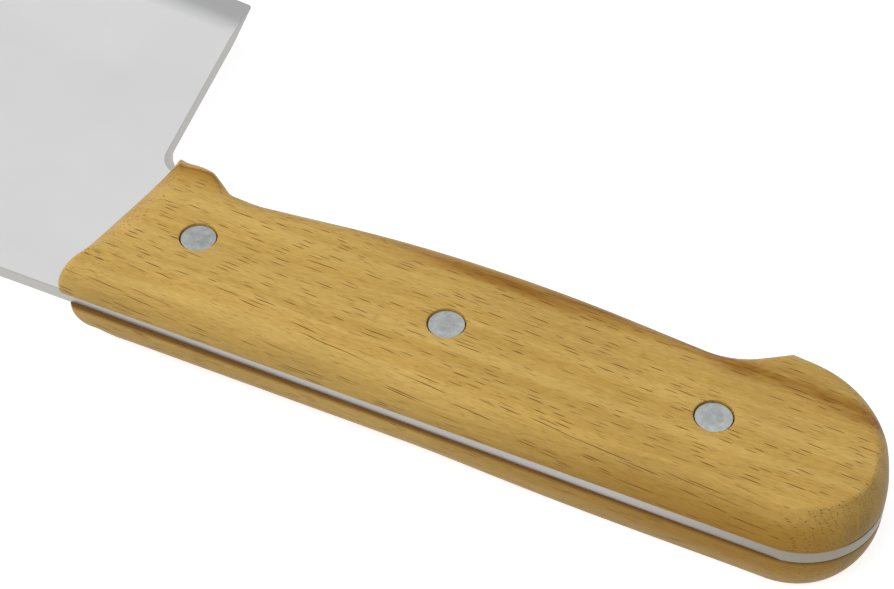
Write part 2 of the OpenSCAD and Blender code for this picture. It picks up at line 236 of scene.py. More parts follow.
def rounded_outline(corners):
    """Closed outline through corners given as x, y and radius: each corner is an arc that touches both
    of its sides, and where two arcs need more than their side, both shrink in the same ratio."""
    corners = np.array(corners, float)
    points, radii = corners[:, :2], corners[:, 2]
    before, after = np.roll(points, 1, 0), np.roll(points, -1, 0)
    half = np.arccos(np.sum(unit(before - points) * unit(after - points), 1)) / 2
    wanted = radii / np.tan(half)
    side = np.linalg.norm(after - points, axis=1)
    needed = np.maximum(wanted + np.roll(wanted, -1), TINY)
    share = np.minimum(1, SIDE_IN_USE * side / needed)
    reach = wanted * np.minimum(share, np.roll(share, 1))
    radius = reach * np.tan(half)
    to_centre = unit(unit(before - points) + unit(after - points))
    centre = points + to_centre * (radius / np.sin(half))[:, None]
    first = points + unit(before - points) * reach[:, None] - centre
    start = np.arctan2(first[:, 1], first[:, 0])
    way = np.sign(np.cross(points - before, after - points))
    turn = (np.pi - 2 * half) * way
    arcs = []
    for i in range(len(corners)):
        steps = max(abs(turn[i]) / ARC_STEP, abs(turn[i]) * radius[i] / STRAIGHT_STEP,
                    FEWEST_ARC_STEPS)
        sweep = start[i] + turn[i] * np.linspace(0, 1, math.ceil(steps) + 1 if radii[i] else 1)
        arcs.append(centre[i] + radius[i] * np.stack([np.cos(sweep), np.sin(sweep)], 1))
    pieces = []
    for arc, following in zip(arcs, arcs[1:] + arcs[:1]):
        steps = max(math.ceil(np.linalg.norm(following[0] - arc[-1]) / STRAIGHT_STEP), 1)
        pieces += [arc, np.linspace(arc[-1], following[0], steps + 1)[1:-1]]
    return np.vstack(pieces)


def inward_directions(outline, reach):
    """Unit vectors into a closed outline: square to the chord that joins it a reach before and after."""
    closed = np.vstack([outline, outline[:1]])
    run = np.concatenate([[0], np.cumsum(np.linalg.norm(np.diff(closed, axis=0), axis=1))])

    def at(s):
        return np.stack([np.interp(s % run[-1], run, closed[:, k]) for k in (0, 1)], 1)

    chord = unit(at(run[:-1] + reach) - at(run[:-1] - reach))
    return np.stack([-chord[:, 1], chord[:, 0]], 1)


# Distance of the rear rivet from the butt
REAR_SETBACK = 0.0276


def handle_places(h):
    """The handle's front, its butt and its spine, measured from the middle rivet."""
    butt_x = RIVET_X[-1] + REAR_SETBACK
    return butt_x - h.handle_length, butt_x, -h.rivet_line_height


def handle_outline(h):
    """Outline of the scales, counter-clockwise from the front corner at the spine."""
    front_x, butt_x, spine_y = handle_places(h)
    shoulder_x = front_x + h.shoulder_setback
    beak_x = butt_x - h.beak_setback
    return rounded_outline([
        (front_x, spine_y - h.front_overhang, h.front_corner_radius),
        (butt_x, spine_y - h.butt_overhang, h.butt_spine_radius),
        (butt_x - h.butt_slant, h.butt_height, h.butt_finger_radius),
        (beak_x, h.beak_height, h.beak_radius),
        (beak_x - h.hollow_run, h.hollow_height, h.hollow_radius),
        (-h.palm_forward, h.palm_height, h.palm_radius),
        (shoulder_x + h.notch_run, h.notch_height, h.notch_radius),
        (shoulder_x, h.shoulder_height, h.shoulder_radius),
        (front_x + h.front_slant, h.front_tip_height, h.front_tip_radius),
    ])


# How high above the rivets the crease has ended, and over what height it fades there
CREASE_TOP = 0.0105
CREASE_BLEND = 0.0091


def section_shares(h, x, y):
    """How much the butt, the crease, the front and the hump each shape the section at a point."""
    front_x, butt_x, spine_y = handle_places(h)
    butt = ease((x - (butt_x - h.rivet_line_height - h.butt_blend)) / h.butt_blend)
    crease = butt * ease((CREASE_TOP - y) / CREASE_BLEND)
    front_line = front_x + h.front_slant * (y - spine_y) / (h.front_tip_height - spine_y)
    front = 1 - ease((x - front_line) / h.front_blend)
    hump = ease(1 + (y - h.notch_height) / h.hump_blend)
    hump = hump * (1 - ease((x - front_x - h.shoulder_setback) / h.hump_blend))
    return butt, crease, front, hump


# Steps up the roundover, and how far its section goes over to the crisp one where the crease is full
LAYERS = 30
CRISP_SHARE = 0.9


def scale_layers(h, outline, inward):
    """The roundover as rings of points: at an angle a up a superellipse of fullness f, the height
    goes with sin(a)^(2/f) and the inset from the outline with 1 - cos(a)^(2/f)."""
    x, y = outline[:, 0], outline[:, 1]
    butt, crease, front, hump = section_shares(h, x, y)
    reach = mix(h.grip_round, h.butt_round, butt) - h.crease_tuck * crease
    reach = mix(mix(reach, h.hump_round, hump), h.front_round, front)
    full = mix(mix(h.grip_fullness, h.butt_fullness, butt), h.crease_fullness, crease)
    full = mix(mix(full, h.hump_fullness, hump), h.front_fullness, front)
    even = np.linspace(0, 1, LAYERS + 1)[:, None]
    a = np.pi / 4 * (1 - np.cos(np.pi * even))
    thickness = TOP_Z - PLATE / 2
    z = h.wall_height + (thickness - h.wall_height) * np.sin(a) ** (2 / full)
    inset = reach * (1 - np.clip(np.cos(a), 0, 1) ** (2 / full)) + h.crease_draft * crease * z
    crisp_inset, crisp_z = crisp_section(h, thickness)
    crisp = CRISP_SHARE * crease
    inset, z = mix(inset, crisp_inset, crisp), mix(z, crisp_z, crisp)
    flat = outline[None] + inward[None] * inset[:, :, None]
    return np.dstack([flat, z + PLATE / 2]), inset


def crisp_section(h, thickness):
    """Inset and height of a section with a crisp crease: the wall's inset grows with the square of its
    height up to a little below the top, and an arc that continues it turns over to the flat."""
    wall_top = thickness - h.crease_depth
    lean = math.atan(2 * h.crease_inset / (wall_top - h.wall_height))
    radius = h.crease_depth / (1 - math.sin(lean))
    up = np.linspace(0, 1, LAYERS // 2 + 1)[:-1]
    turn = np.linspace(lean, math.pi / 2, LAYERS - LAYERS // 2 + 1)
    inset = np.concatenate([h.crease_inset * up ** 2,
                            h.crease_inset + radius * (math.cos(lean) - np.cos(turn))])
    z = np.concatenate([mix(h.wall_height, wall_top, up),
                        wall_top + radius * (np.sin(turn) - math.sin(lean))])
    return inset[:, None], z[:, None]


# Distance behind the front over which the setback fades
SETBACK_BLEND = 0.012


def set_back(h, points, setback):
    """Points moved back along the handle near its front: by the whole setback at the spine's corner, and
    less towards the tip and with the distance behind the front."""
    front_x, _, spine_y = handle_places(h)
    rise = (points[..., 1] - spine_y) / (h.front_tip_height - spine_y)
    behind = points[..., 0] - front_x - h.front_slant * rise
    shift = setback * (1 - np.clip(rise, 0, 1)) * (1 - ease(behind / SETBACK_BLEND))
    return points + shift[..., None] * np.array([1, 0, 0])


CUT_STEPS = 24


def cells(ring, cuts):
    """Closed loops of the cells that a closed ring is divided into by straight cuts, front to butt.
    A cut is a pair of indices, on the spine's side and the finger's side, and both cells share it."""
    lines = [np.linspace(ring[low], ring[high], CUT_STEPS + 1)[1:-1] for low, high in cuts]
    low, high = cuts[0]
    loops = [np.vstack([ring[high:], ring[:low + 1], lines[0]])]
    for k in range(1, len(cuts)):
        next_low, next_high = cuts[k]
        loops.append(np.vstack([ring[low:next_low + 1], lines[k],
                                ring[next_high:high + 1], lines[k - 1][::-1]]))
        low, high = next_low, next_high
    loops.append(np.vstack([ring[low:high + 1], lines[-1][::-1]]))
    return loops


def cut_places(outline, places):
    """For each x in places, the outline's nearest points on the spine's side and the finger's side."""
    index = np.arange(len(outline))
    pairs = []
    for x in places:
        gap = np.abs(outline[:, 0] - x)
        low = index[outline[:, 1] < 0][np.argmin(gap[outline[:, 1] < 0])]
        high = index[outline[:, 1] > 0][np.argmin(gap[outline[:, 1] > 0])]
        pairs.append((low, high))
    return pairs


def circle_rows(angles, centre_x, profile):
    """A profile of radius and height carried round an upright axis, with its points at given angles."""
    radius, z = np.array(profile, float).T
    x = centre_x + radius[:, None] * np.cos(angles)
    y = radius[:, None] * np.sin(angles)
    return np.dstack([x, y, np.broadcast_to(z[:, None], x.shape)])


def rows_facing(loop, centre_x, profile):
    """A profile carried round an upright axis, with its points in the directions of a loop's own."""
    return circle_rows(np.arctan2(loop[:, 1], loop[:, 0] - centre_x), centre_x, profile)


def inside_circle(points, centre, radius):
    """Points, with those that lie outside a circle moved straight in onto it."""
    reach = points - centre
    distance = np.linalg.norm(reach, axis=1, keepdims=True)
    return np.where(distance > radius, centre + reach / distance * radius, points)


def hole_radius(r):
    """Radius of the holes that the rivets' sleeves go through."""
    return r.sleeve_diameter / 2 + r.sleeve_clearance


def seat_height(r):
    """Height of the seats' floors, on which the rivets' heads rest."""
    return TOP_Z - r.head_sink - r.head_thickness


def between_rows(first, last, steps):
    """Rows that lead straight from one row of points to another, both ends included."""
    t = np.linspace(0, 1, steps + 1)[:, None, None]
    return first[None] * (1 - t) + last[None] * t


WELD_DIGITS = 7


class Shell:
    """Collects grids of points, and welds them into one closed mesh."""

    def __init__(self):
        self.points, self.quads, self.values, self.count = [], [], [], 0

    def grid(self, rows, value=1.0):
        """Adds a grid of points, in rows that run round to their own start, with a value at each."""
        height, width = rows.shape[:2]
        here = np.arange(height * width).reshape(height, width) + self.count
        following = np.roll(here, -1, 1)
        quads = np.stack([here[:-1], following[:-1], following[1:], here[1:]], -1)
        self.points.append(rows.reshape(-1, 3))
        self.quads.append(quads.reshape(-1, 4))
        self.values.append(np.broadcast_to(value, (height, width)).reshape(-1))
        self.count += height * width

    def build(self, name, nodes, sharp_angle=38, mirror=False):
        """Welds the grids and gives a piece in the place of the CAD nodes, inside the first one's box.
        A quad with two corners welded into one becomes a triangle, and one with more falls away."""
        points = np.vstack(self.points) * ((1, 1, -1) if mirror else (1, 1, 1)) + HOME
        low, high = (np.array(corner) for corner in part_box(nodes[0]))
        points = np.clip(points, low, high)
        _, first, index = np.unique(np.round(points, WELD_DIGITS), axis=0, return_index=True,
                                    return_inverse=True)
        quads = index.reshape(-1)[np.vstack(self.quads)]
        repeat = quads == np.roll(quads, -1, 1)
        repeats = repeat.sum(1)
        tris = quads[repeats == 1][~repeat[repeats == 1]].reshape(-1, 3)
        faces = quads[repeats == 0].tolist() + tris.tolist()
        mesh = bpy.data.meshes.new(name)
        mesh.from_pydata(points[first], [], faces)
        tidy = bmesh.new()
        tidy.from_mesh(mesh)
        bmesh.ops.recalc_face_normals(tidy, faces=tidy.faces)
        tidy.to_mesh(mesh)
        tidy.free()
        mesh.polygons.foreach_set("use_smooth", np.ones(len(mesh.polygons), bool))
        mesh.set_sharp_from_angle(angle=math.radians(sharp_angle))
        piece = bpy.data.objects.new(name, mesh)
        bpy.context.scene.collection.objects.link(piece)
        self.kept = np.concatenate(self.values)[first]
        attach(piece, "root")
        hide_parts(*nodes)
        return piece


def set_values(piece, name, values):
    """Stores one number for each point of a piece, which its material reads by name."""
    layer = piece.data.attributes.new(name, "FLOAT", "POINT")
    layer.data.foreach_set("value", np.asarray(values, np.float32))


def own_points(piece):
    """A piece's points, measured from the middle rivet in the blade's middle plane."""
    points = np.empty(len(piece.data.vertices) * 3)
    piece.data.vertices.foreach_get("co", points)
    return points.reshape(-1, 3) - HOME


def own_normals(piece):
    """The directions that a piece's points face."""
    normals = np.empty(len(piece.data.vertices) * 3)
    piece.data.vertex_normals.foreach_get("vector", normals)
    return normals.reshape(-1, 3)


# Materials

MILLIMETRES = (1000, 1000, 1000)


class Tree:
    """Adds nodes to a node tree. Each input is a socket to link from, or a plain value."""

    def __init__(self, tree):
        self.tree = tree

    def node(self, kind, inputs=None, **settings):
        node = self.tree.nodes.new(kind)
        for name, value in settings.items():
            setattr(node, name, value)
        for key, value in (inputs or {}).items():
            if isinstance(value, NodeSocket):
                self.link(value, node.inputs[key])
            elif value is not None:
                node.inputs[key].default_value = value
        return node

    def link(self, source, target):
        self.tree.links.new(source, target)

    def math(self, operation, a, b):
        return self.node("ShaderNodeMath", {0: a, 1: b}, operation=operation).outputs[0]

    def times(self, a, b):
        return self.math("MULTIPLY", a, b)

    def plus(self, a, b):
        return self.math("ADD", a, b)

    def vector(self, operation, a, b=None):
        node = self.node("ShaderNodeVectorMath", {0: a, 1: b}, operation=operation)
        return node.outputs["Value" if operation == "LENGTH" else "Vector"]

    def combine(self, x=0.0, y=0.0, z=0.0):
        return self.node("ShaderNodeCombineXYZ", {0: x, 1: y, 2: z}).outputs[0]

    def smooth(self, value, low, high, to_low=0.0, to_high=1.0):
        """Eases from one value to another while the input goes from low to high."""
        inputs = {"Value": value, "From Min": low, "From Max": high,
                  "To Min": to_low, "To Max": to_high}
        return self.node("ShaderNodeMapRange", inputs,
                         interpolation_type="SMOOTHSTEP").outputs[0]

    def band(self, value, rise, fall, peak):
        """Rises while the input crosses one range, and falls back to 0 while it crosses another."""
        return self.times(self.smooth(value, *rise), self.smooth(value, *fall, peak, 0.0))

    def colour(self, factor, a, b, blend="MIX"):
        a, b = (v if isinstance(v, NodeSocket) else (*v, 1) for v in (a, b))
        node = self.node("ShaderNodeMix", {0: factor, 6: a, 7: b},
                         data_type="RGBA", blend_type=blend)
        return node.outputs[2]

    def toned(self, colour, tone):
        """A colour with all of its channels multiplied by one tone."""
        return self.colour(1.0, colour, tone, "MULTIPLY")

    def grey(self, value):
        return self.node("ShaderNodeCombineColor", {0: value, 1: value, 2: value}).outputs[0]

    def centred(self, noise):
        """A noise moved so that its middle is 0."""
        return self.math("SUBTRACT", noise, 0.5)

    def noise(self, place, rate, detail=2.0, roughness=0.5):
        """Noise that changes at its own rate along each axis."""
        inputs = {"Vector": self.vector("MULTIPLY", place, rate), "Scale": 1.0, "Detail": detail,
                  "Roughness": roughness}
        return self.node("ShaderNodeTexNoise", inputs).outputs[0]

    def attribute(self, name):
        return self.node("ShaderNodeAttribute", attribute_name=name).outputs["Fac"]

    def place(self):
        return self.node("ShaderNodeTexCoord").outputs["Object"]

    def grouped(self, name, inputs):
        """Places a shared group, with its own values."""
        return self.node("ShaderNodeGroup", inputs, node_tree=shared_group(name)).outputs


def group_of(name, inputs, outputs):
    """A shader node group with named sockets: its tree, and the group's own input and output nodes."""
    group = bpy.data.node_groups.new(name, "ShaderNodeTree")
    for label, kind, default in inputs:
        socket = group.interface.new_socket(label, in_out="INPUT", socket_type=kind)
        socket.default_value = default
    for label, kind in outputs:
        group.interface.new_socket(label, in_out="OUTPUT", socket_type=kind)
    tree = Tree(group)
    return tree, tree.node("NodeGroupInput").outputs, tree.node("NodeGroupOutput").inputs


# Two sizes of pores: the tubes' spacing and radius in millimetres, their slopes across and through the
# wood, and where their pattern starts
LARGE_PORES = {"pitch": (0.72, 0.36), "radius": 0.105, "slope": (0.045, 0.055), "start": 0.0}
SMALL_PORES = {"pitch": (0.5, 0.3), "radius": 0.06, "slope": (-0.05, 0.07), "start": 7.3}
SMALL_PORE_SHARE = 0.5

# The thinnest tube's share of the radius, how irregularly they lie, the soft edge of a dash in shares
# of its tube's radius, and the range of their random numbers over which they come into sight
THINNEST_TUBE = 0.6
TUBE_SCATTER = 0.7
DASH_EDGE = (0.5, 1.0)
TUBES_SEEN = (0.05, 0.7)


def cut_vessels(t, place, pitch, radius, slope, start):
    """Pores as a surface really cuts them: thin tubes along X, one to each cell of a Voronoi pattern
    across them, that rise and swerve by a small slope, so that each comes out as a long thin dash."""
    x, y, z = t.node("ShaderNodeSeparateXYZ", {0: place}).outputs
    y = t.plus(y, t.times(x, slope[0]))
    z = t.plus(z, t.times(x, slope[1]))
    across = t.vector("MULTIPLY", t.combine(y, z), (1 / pitch[0], 1 / pitch[1], 0))
    across = t.vector("ADD", across, (start, start, 0))
    tubes = t.node("ShaderNodeTexVoronoi",
                   {"Vector": across, "Scale": 1.0, "Randomness": TUBE_SCATTER},
                   voronoi_dimensions="2D").outputs
    away = t.vector("SUBTRACT", across, tubes["Position"])
    away = t.vector("MULTIPLY", away, (pitch[0], pitch[1], 0))
    random = t.node("ShaderNodeSeparateColor", {0: tubes["Color"]}).outputs
    width = t.smooth(random[1], 0.0, 1.0, THINNEST_TUBE * radius, radius)
    dash = t.smooth(t.math("DIVIDE", t.vector("LENGTH", away), width), *DASH_EDGE, 1.0, 0.0)
    return t.times(dash, t.smooth(random[0], *TUBES_SEEN))


# How fast each noise changes, per millimetre along, across and through the knife, and how far those
# that bend others move them, in millimetres
DRIFT_RATE = (0.022, 0.05, 0.05)
DRIFT_REACH = 5.0
BAND_RATE = (0.008, 0.45, 0.35)
WOOD_CLOUD_RATE = (0.05, 0.12, 0.12)
FIBRE_RATE = (0.45, 4.0, 4.0)
WAVER_RATE = (0.09, 0.3, 0.3)
WAVER_REACH = 0.5

# The parts of each noise's range that are used, what they do to the tone, and the finish they leave
BANDS_USED = (0.36, 0.68)
FIBRES_USED = (0.25, 0.75)
CLOUDS_USED = (0.3, 0.7)
FIBRE_TONES = (-0.13, 0.13)
CLOUD_TONES = (-0.05, 0.05)
FIBRE_HEIGHT = 0.25
DASHED_FIBRES = (0.2, 1.4)
WOOD_ROUGHNESS = (0.42, 0.62)


def beech_group():
    """Beech figure: wide growth bands and fine fibres are noise drawn out along X, pores are dashes."""
    inputs = [("Place", "NodeSocketVector", (0, 0, 0)), ("Light", "NodeSocketColor", (1, 1, 1, 1)),
              ("Dark", "NodeSocketColor", (0, 0, 0, 1)), ("Pore Amount", "NodeSocketFloat", 1.0)]
    outputs = [("Colour", "NodeSocketColor"), ("Pores", "NodeSocketFloat"),
               ("Height", "NodeSocketFloat"), ("Roughness", "NodeSocketFloat")]
    t, given, result = group_of("Beech Figure", inputs, outputs)
    mm = t.vector("MULTIPLY", given["Place"], MILLIMETRES)
    drift = t.times(t.noise(mm, DRIFT_RATE, 1.0), DRIFT_REACH)
    bent = t.vector("ADD", mm, t.combine(y=drift))
    bands = t.noise(bent, BAND_RATE, 3.0, 0.6)
    clouds = t.noise(mm, WOOD_CLOUD_RATE)
    fibres = t.noise(bent, FIBRE_RATE, 3.0, 0.65)
    colour = t.colour(t.smooth(bands, *BANDS_USED), given["Light"], given["Dark"])
    tone = t.plus(t.smooth(fibres, *FIBRES_USED, *FIBRE_TONES),
                  t.smooth(clouds, *CLOUDS_USED, *CLOUD_TONES))
    colour = t.toned(colour, t.grey(t.plus(tone, 1.0)))
    waver = t.times(t.centred(t.noise(mm, WAVER_RATE, 1.0)), WAVER_REACH)
    vessel = t.vector("ADD", mm, t.combine(y=waver, z=waver))
    small = t.times(cut_vessels(t, vessel, **SMALL_PORES), SMALL_PORE_SHARE)
    dashes = t.math("MAXIMUM", cut_vessels(t, vessel, **LARGE_PORES), small)
    dashes = t.times(dashes, given["Pore Amount"])
    t.link(colour, result["Colour"])
    t.link(dashes, result["Pores"])
    t.link(t.math("SUBTRACT", t.times(fibres, FIBRE_HEIGHT), dashes), result["Height"])
    roughness = t.smooth(t.plus(fibres, dashes), *DASHED_FIBRES, *WOOD_ROUGHNESS)
    t.link(roughness, result["Roughness"])
    return t.tree


# How fast the clouds change, per millimetre, the part of the lines' range that is used, and how much
# they change the roughness
METAL_CLOUD_RATE = (0.035, 0.05, 0.05)
LINES_USED = (0.3, 0.7)
LINE_FINISH = (-0.04, 0.04)


def satin_group():
    """Worked metal: fine lines drawn out along X over soft clouds, as a tone, a height and a finish."""
    inputs = [("Place", "NodeSocketVector", (0, 0, 0)), ("Across", "NodeSocketFloat", 9.0),
              ("Along", "NodeSocketFloat", 0.25), ("Clouds", "NodeSocketFloat", 0.05),
              ("Lines", "NodeSocketFloat", 0.03)]
    outputs = [("Tone", "NodeSocketColor"), ("Height", "NodeSocketFloat"),
               ("Finish", "NodeSocketFloat")]
    t, given, result = group_of("Satin Metal", inputs, outputs)
    mm = t.vector("MULTIPLY", given["Place"], MILLIMETRES)
    rate = t.combine(given["Along"], given["Across"], given["Across"])
    lines = t.noise(mm, rate, 3.0, 0.65)
    clouds = t.noise(mm, METAL_CLOUD_RATE)
    tone = t.plus(t.times(t.centred(lines), given["Lines"]),
                  t.times(t.centred(clouds), given["Clouds"]))
    t.link(t.grey(t.plus(tone, 1.0)), result["Tone"])
    t.link(lines, result["Height"])
    t.link(t.smooth(lines, *LINES_USED, *LINE_FINISH), result["Finish"])
    return t.tree


GROUPS = {}


def shared_group(name):
    """A node group, made the first time that a material asks for it."""
    makers = {"beech": beech_group, "satin": satin_group}
    if name not in GROUPS:
        GROUPS[name] = makers[name]()
    return GROUPS[name]


def new_material(name, metallic=0.0, roughness=0.5, specular=0.5):
    """A material with one Principled shader: its tree and that shader, with plain values set on it."""
    material = bpy.data.materials.new(name)
    material.use_nodes = True
    tree = Tree(material.node_tree)
    shader = material.node_tree.nodes["Principled BSDF"]
    shader.inputs["Metallic"].default_value = metallic
    shader.inputs["Roughness"].default_value = roughness
    shader.inputs["Specular IOR Level"].default_value = specular
    return material, tree, shader


def add_bump(t, shader, height, distance, strength=1.0):
    """Roughens a material by a height, which stands for a distance in metres."""
    bump = t.node("ShaderNodeBump", {"Height": height, "Distance": distance, "Strength": strength})
    t.link(bump.outputs[0], shader.inputs["Normal"])


# The roughness of the blade's faces, and how much rougher the bevels and the sheared edges are
STEEL_ROUGHNESS = 0.36
GROUND_ROUGHER = 0.1
SHEARED_ROUGHER = 0.12
STEEL_BUMP = 0.000004


def steel_material(b):
    """Satin steel, darker and rougher on the ground bevels and the sheared edges, and tarnished on the
    tang's edge near the butt."""
    material, t, shader = new_material("satin_steel", metallic=1.0)
    face = t.grouped("satin", {"Place": t.place(), "Across": 7.0, "Along": 0.12,
                               "Clouds": 0.14, "Lines": 0.03})
    ground, side = t.attribute("ground"), t.attribute("side")
    colour = t.colour(ground, b.steel, b.ground)
    colour = t.colour(side, colour, b.sheared)
    colour = t.colour(t.attribute("tarnish"), colour, b.tarnished)
    t.link(t.toned(colour, face["Tone"]), shader.inputs["Base Color"])
    rough = t.plus(t.times(ground, GROUND_ROUGHER), face["Finish"])
    rough = t.plus(rough, t.times(side, SHEARED_ROUGHER))
    t.link(t.plus(rough, STEEL_ROUGHNESS), shader.inputs["Roughness"])
    add_bump(t, shader, face["Height"], STEEL_BUMP)
    return material


OILED_SPECULAR = 0.12

# How ragged the streak is and how patchy the end grain: the noise's rate per metre, the part of its
# range that is used, and the strengths that it gives
RAGGED_RATE = (60, 900, 900)
RAGGED = (0.3, 0.6, 0.5, 1.0)
END_GRAIN_RATE = (300, 700, 90)
END_GRAIN_PATCHES = (0.35, 0.65, 0.25, 0.9)

# Painted shade on the hump: a dark line under its crease and the shade below it, by the millimetres
# below the crease
CREASE_LINE = {"rise": (-0.45, 0.0), "fall": (0.1, 0.7), "peak": 0.85}
CREASE_SHADE = {"rise": (-0.3, 0.3), "fall": (0.3, 4.2), "peak": 0.75}

# The part of the gap's range over which its painted shadow sets in
GAP_SHADOW_EDGE = (0.4, 0.6)
PORE_SHARE = 0.85
WOOD_BUMP = 0.00006
WOOD_BUMP_STRENGTH = 0.8


def beech_material(h, name, pores):
    """Oiled beech: the figure, then the dark streak, partly painted shade, painted shade on the steep
    sides, end grain greyed by a painted sheen, painted shade on the hump as a crease line and the shade
    under it, a painted highlight along the front rim, pores, painted shade at the seam with the plate
    and a painted shadow in the gap at the butt."""
    material, t, shader = new_material(name, specular=OILED_SPECULAR)
    place = t.place()
    figure = t.grouped("beech", {"Place": place, "Light": (*h.light_wood, 1),
                                 "Dark": (*h.dark_wood, 1), "Pore Amount": pores})
    ragged = t.smooth(t.noise(place, RAGGED_RATE, 3.0, 0.6), *RAGGED)
    # The streak: dark wood, and painted shade on the finger side's roundover
    colour = t.colour(t.times(t.attribute("streak_and_shade"), ragged), figure["Colour"], h.streak_and_shade)
    # Painted shade on the steep sides, most of all round the butt, and at the seam
    colour = t.colour(t.attribute("shaded_wood"), colour, h.shaded_wood)
    # End grain, greyed as a painted sheen
    grain = t.smooth(t.noise(place, END_GRAIN_RATE), *END_GRAIN_PATCHES)
    colour = t.colour(t.times(t.attribute("end_grain_and_sheen"), grain), colour, h.end_grain_and_sheen)
    below, hump = t.attribute("below_crease"), t.attribute("hump")
    # Painted shade on the hump: the crease line and the shade below it
    colour = t.colour(t.times(t.band(below, **CREASE_SHADE), hump), colour, h.shaded_wood)
    colour = t.colour(t.times(t.band(below, **CREASE_LINE), hump), colour, h.streak_and_shade)
    # Painted highlight along the front rim, in the light wood's colour
    colour = t.colour(t.attribute("rim"), colour, h.light_wood)
    colour = t.colour(t.times(figure["Pores"], PORE_SHARE), colour, h.pore)
    # Painted shade at the seam with the plate, in the pores' colour
    colour = t.colour(t.attribute("seam_shade"), colour, h.pore)
    # Painted shadow of the gap under the upper scale at the butt
    colour = t.colour(t.smooth(t.attribute("gap"), *GAP_SHADOW_EDGE), colour, h.gap)
    t.link(colour, shader.inputs["Base Color"])
    t.link(figure["Roughness"], shader.inputs["Roughness"])
    add_bump(t, shader, figure["Height"], WOOD_BUMP, WOOD_BUMP_STRENGTH)
    return material


RIVET_ROUGHNESS = 0.42
RIVET_BUMP = 0.00003

# The darker ring round the dimple: its tone, and its strength by the millimetres from the axis
RING_TONE = 0.6
RING = {"rise": (0.25, 0.7), "fall": (0.9, 1.9), "peak": 0.3}


def rivet_material(r):
    """Dull pressed aluminium, mottled where the heads were set, with a darker ring round the dimple."""
    material, t, shader = new_material("pressed_aluminium", metallic=1.0)
    face = t.grouped("satin", {"Place": t.place(), "Across": 0.9, "Along": 0.9,
                               "Clouds": 0.9, "Lines": 1.1})
    colour = t.toned(r.metal, face["Tone"])
    ring = t.band(t.attribute("from_axis"), **RING)
    colour = t.colour(ring, colour, [c * RING_TONE for c in r.metal])
    t.link(colour, shader.inputs["Base Color"])
    t.link(t.plus(face["Finish"], RIVET_ROUGHNESS), shader.inputs["Roughness"])
    add_bump(t, shader, face["Height"], RIVET_BUMP)
    return material


# Pieces

def blade_outline(b, h, outline):
    """Outline of the blade and its tang: along the spine, round the handle's own outline as far as the
    choil, up the heel, along the belly, which is an arc, and round the toe."""
    front_x, _, spine_y = handle_places(h)
    root_x = front_x + h.front_slant + h.front_tip_radius
    root_y = h.front_tip_height - h.front_tip_radius
    choil_y = h.front_tip_height - b.choil_drop
    foot_x = front_x + b.heel_setback
    heel_y = spine_y + b.heel_depth
    heel_x = foot_x - (heel_y - choil_y) * math.tan(b.heel_lean)
    half = (heel_x - TOE_X) / 2
    belly_x = (heel_x + TOE_X) / 2
    centre_y = heel_y - math.sqrt(b.belly_radius ** 2 - half ** 2)
    peak_y = heel_y + half ** 2 / (heel_y - centre_y)
    tang = np.column_stack([outline[:, 0], np.maximum(outline[:, 1], spine_y)])
    tang = tang[(tang[:, 0] > root_x) | (tang[:, 1] > root_y)]
    plain = rounded_outline([
        (TOE_X, spine_y, b.toe_spine_radius),
        (root_x, spine_y, 0),
        (root_x, root_y, 0),
        (foot_x, choil_y, b.choil_radius),
        (heel_x, heel_y, b.heel_corner),
        (belly_x, peak_y, 0),
        (TOE_X, heel_y, b.toe_edge_radius),
    ])
    centre = np.array([belly_x, centre_y])
    plain = inside_circle(plain, centre, b.belly_radius)
    start = np.argmax(plain[:, 0] > root_x - CLOSE)
    choil = start + np.argmax(plain[start:, 0] < tang[-1, 0] - CLOSE)
    return np.vstack([plain[:start + 1], tang, plain[choil:]]), centre, (foot_x + tang[-1, 0]) / 2


# Where the choil's slant begins behind the front tip and ends ahead of it, over what length it fades,
# how far it reaches across the handle on either side, and which way it moves the edge
SLANT_START = 0.0018
SLANT_RUN = 0.0084
SLANT_FADE = 0.003
SLANT_RISE = 0.0061
SLANT_WAY = np.array([0.6, 0.8, 0])


def slant_choil(b, h, points):
    """Points of the plate, with its edge slanted at the choil, where it is ground by hand: a bump round
    the choil moves them outwards, by nothing on the near side and by the whole slant on the far side."""
    run = handle_places(h)[0] + h.front_slant - points[..., 0]
    rise = points[..., 1] - h.front_tip_height
    bump = ease(run / SLANT_START) * ease((SLANT_RUN - run) / SLANT_FADE)
    bump = bump * ease((SLANT_RISE - rise) / SLANT_RISE) * ease(1 + rise / SLANT_RISE)
    shift = b.choil_slant * bump * (PLATE / 2 - points[..., 2]) / PLATE
    return points + shift[..., None] * SLANT_WAY


class CLEAVER_OT_scales(Operator):
    """Build the two beech scales as smooth closed shells"""
    bl_idname = "cleaver.scales"
    bl_label = "Beech Scales"

    def execute(self, context):
        h, r = context.scene.cleaver_handle, context.scene.cleaver_rivets
        for name, mirror, pores in (("upper_scale", False, 1.0), ("lower_scale", True, 0.8)):
            material = beech_material(h, f"beech_{name}", pores)
            piece = make_scale(h, r, name, mirror)
            piece.data.materials.append(material)
        return {"FINISHED"}


# How far the chords reach that give the way in from the outline, the steps across a flat face, and the
# broken rim of a rivet's seat, with its middle point's share of it
DIRECTION_REACH = 0.014
CAP_STEPS = 6
SEAT_RIM = 0.0001
SEAT_RIM_SHARE = 0.3


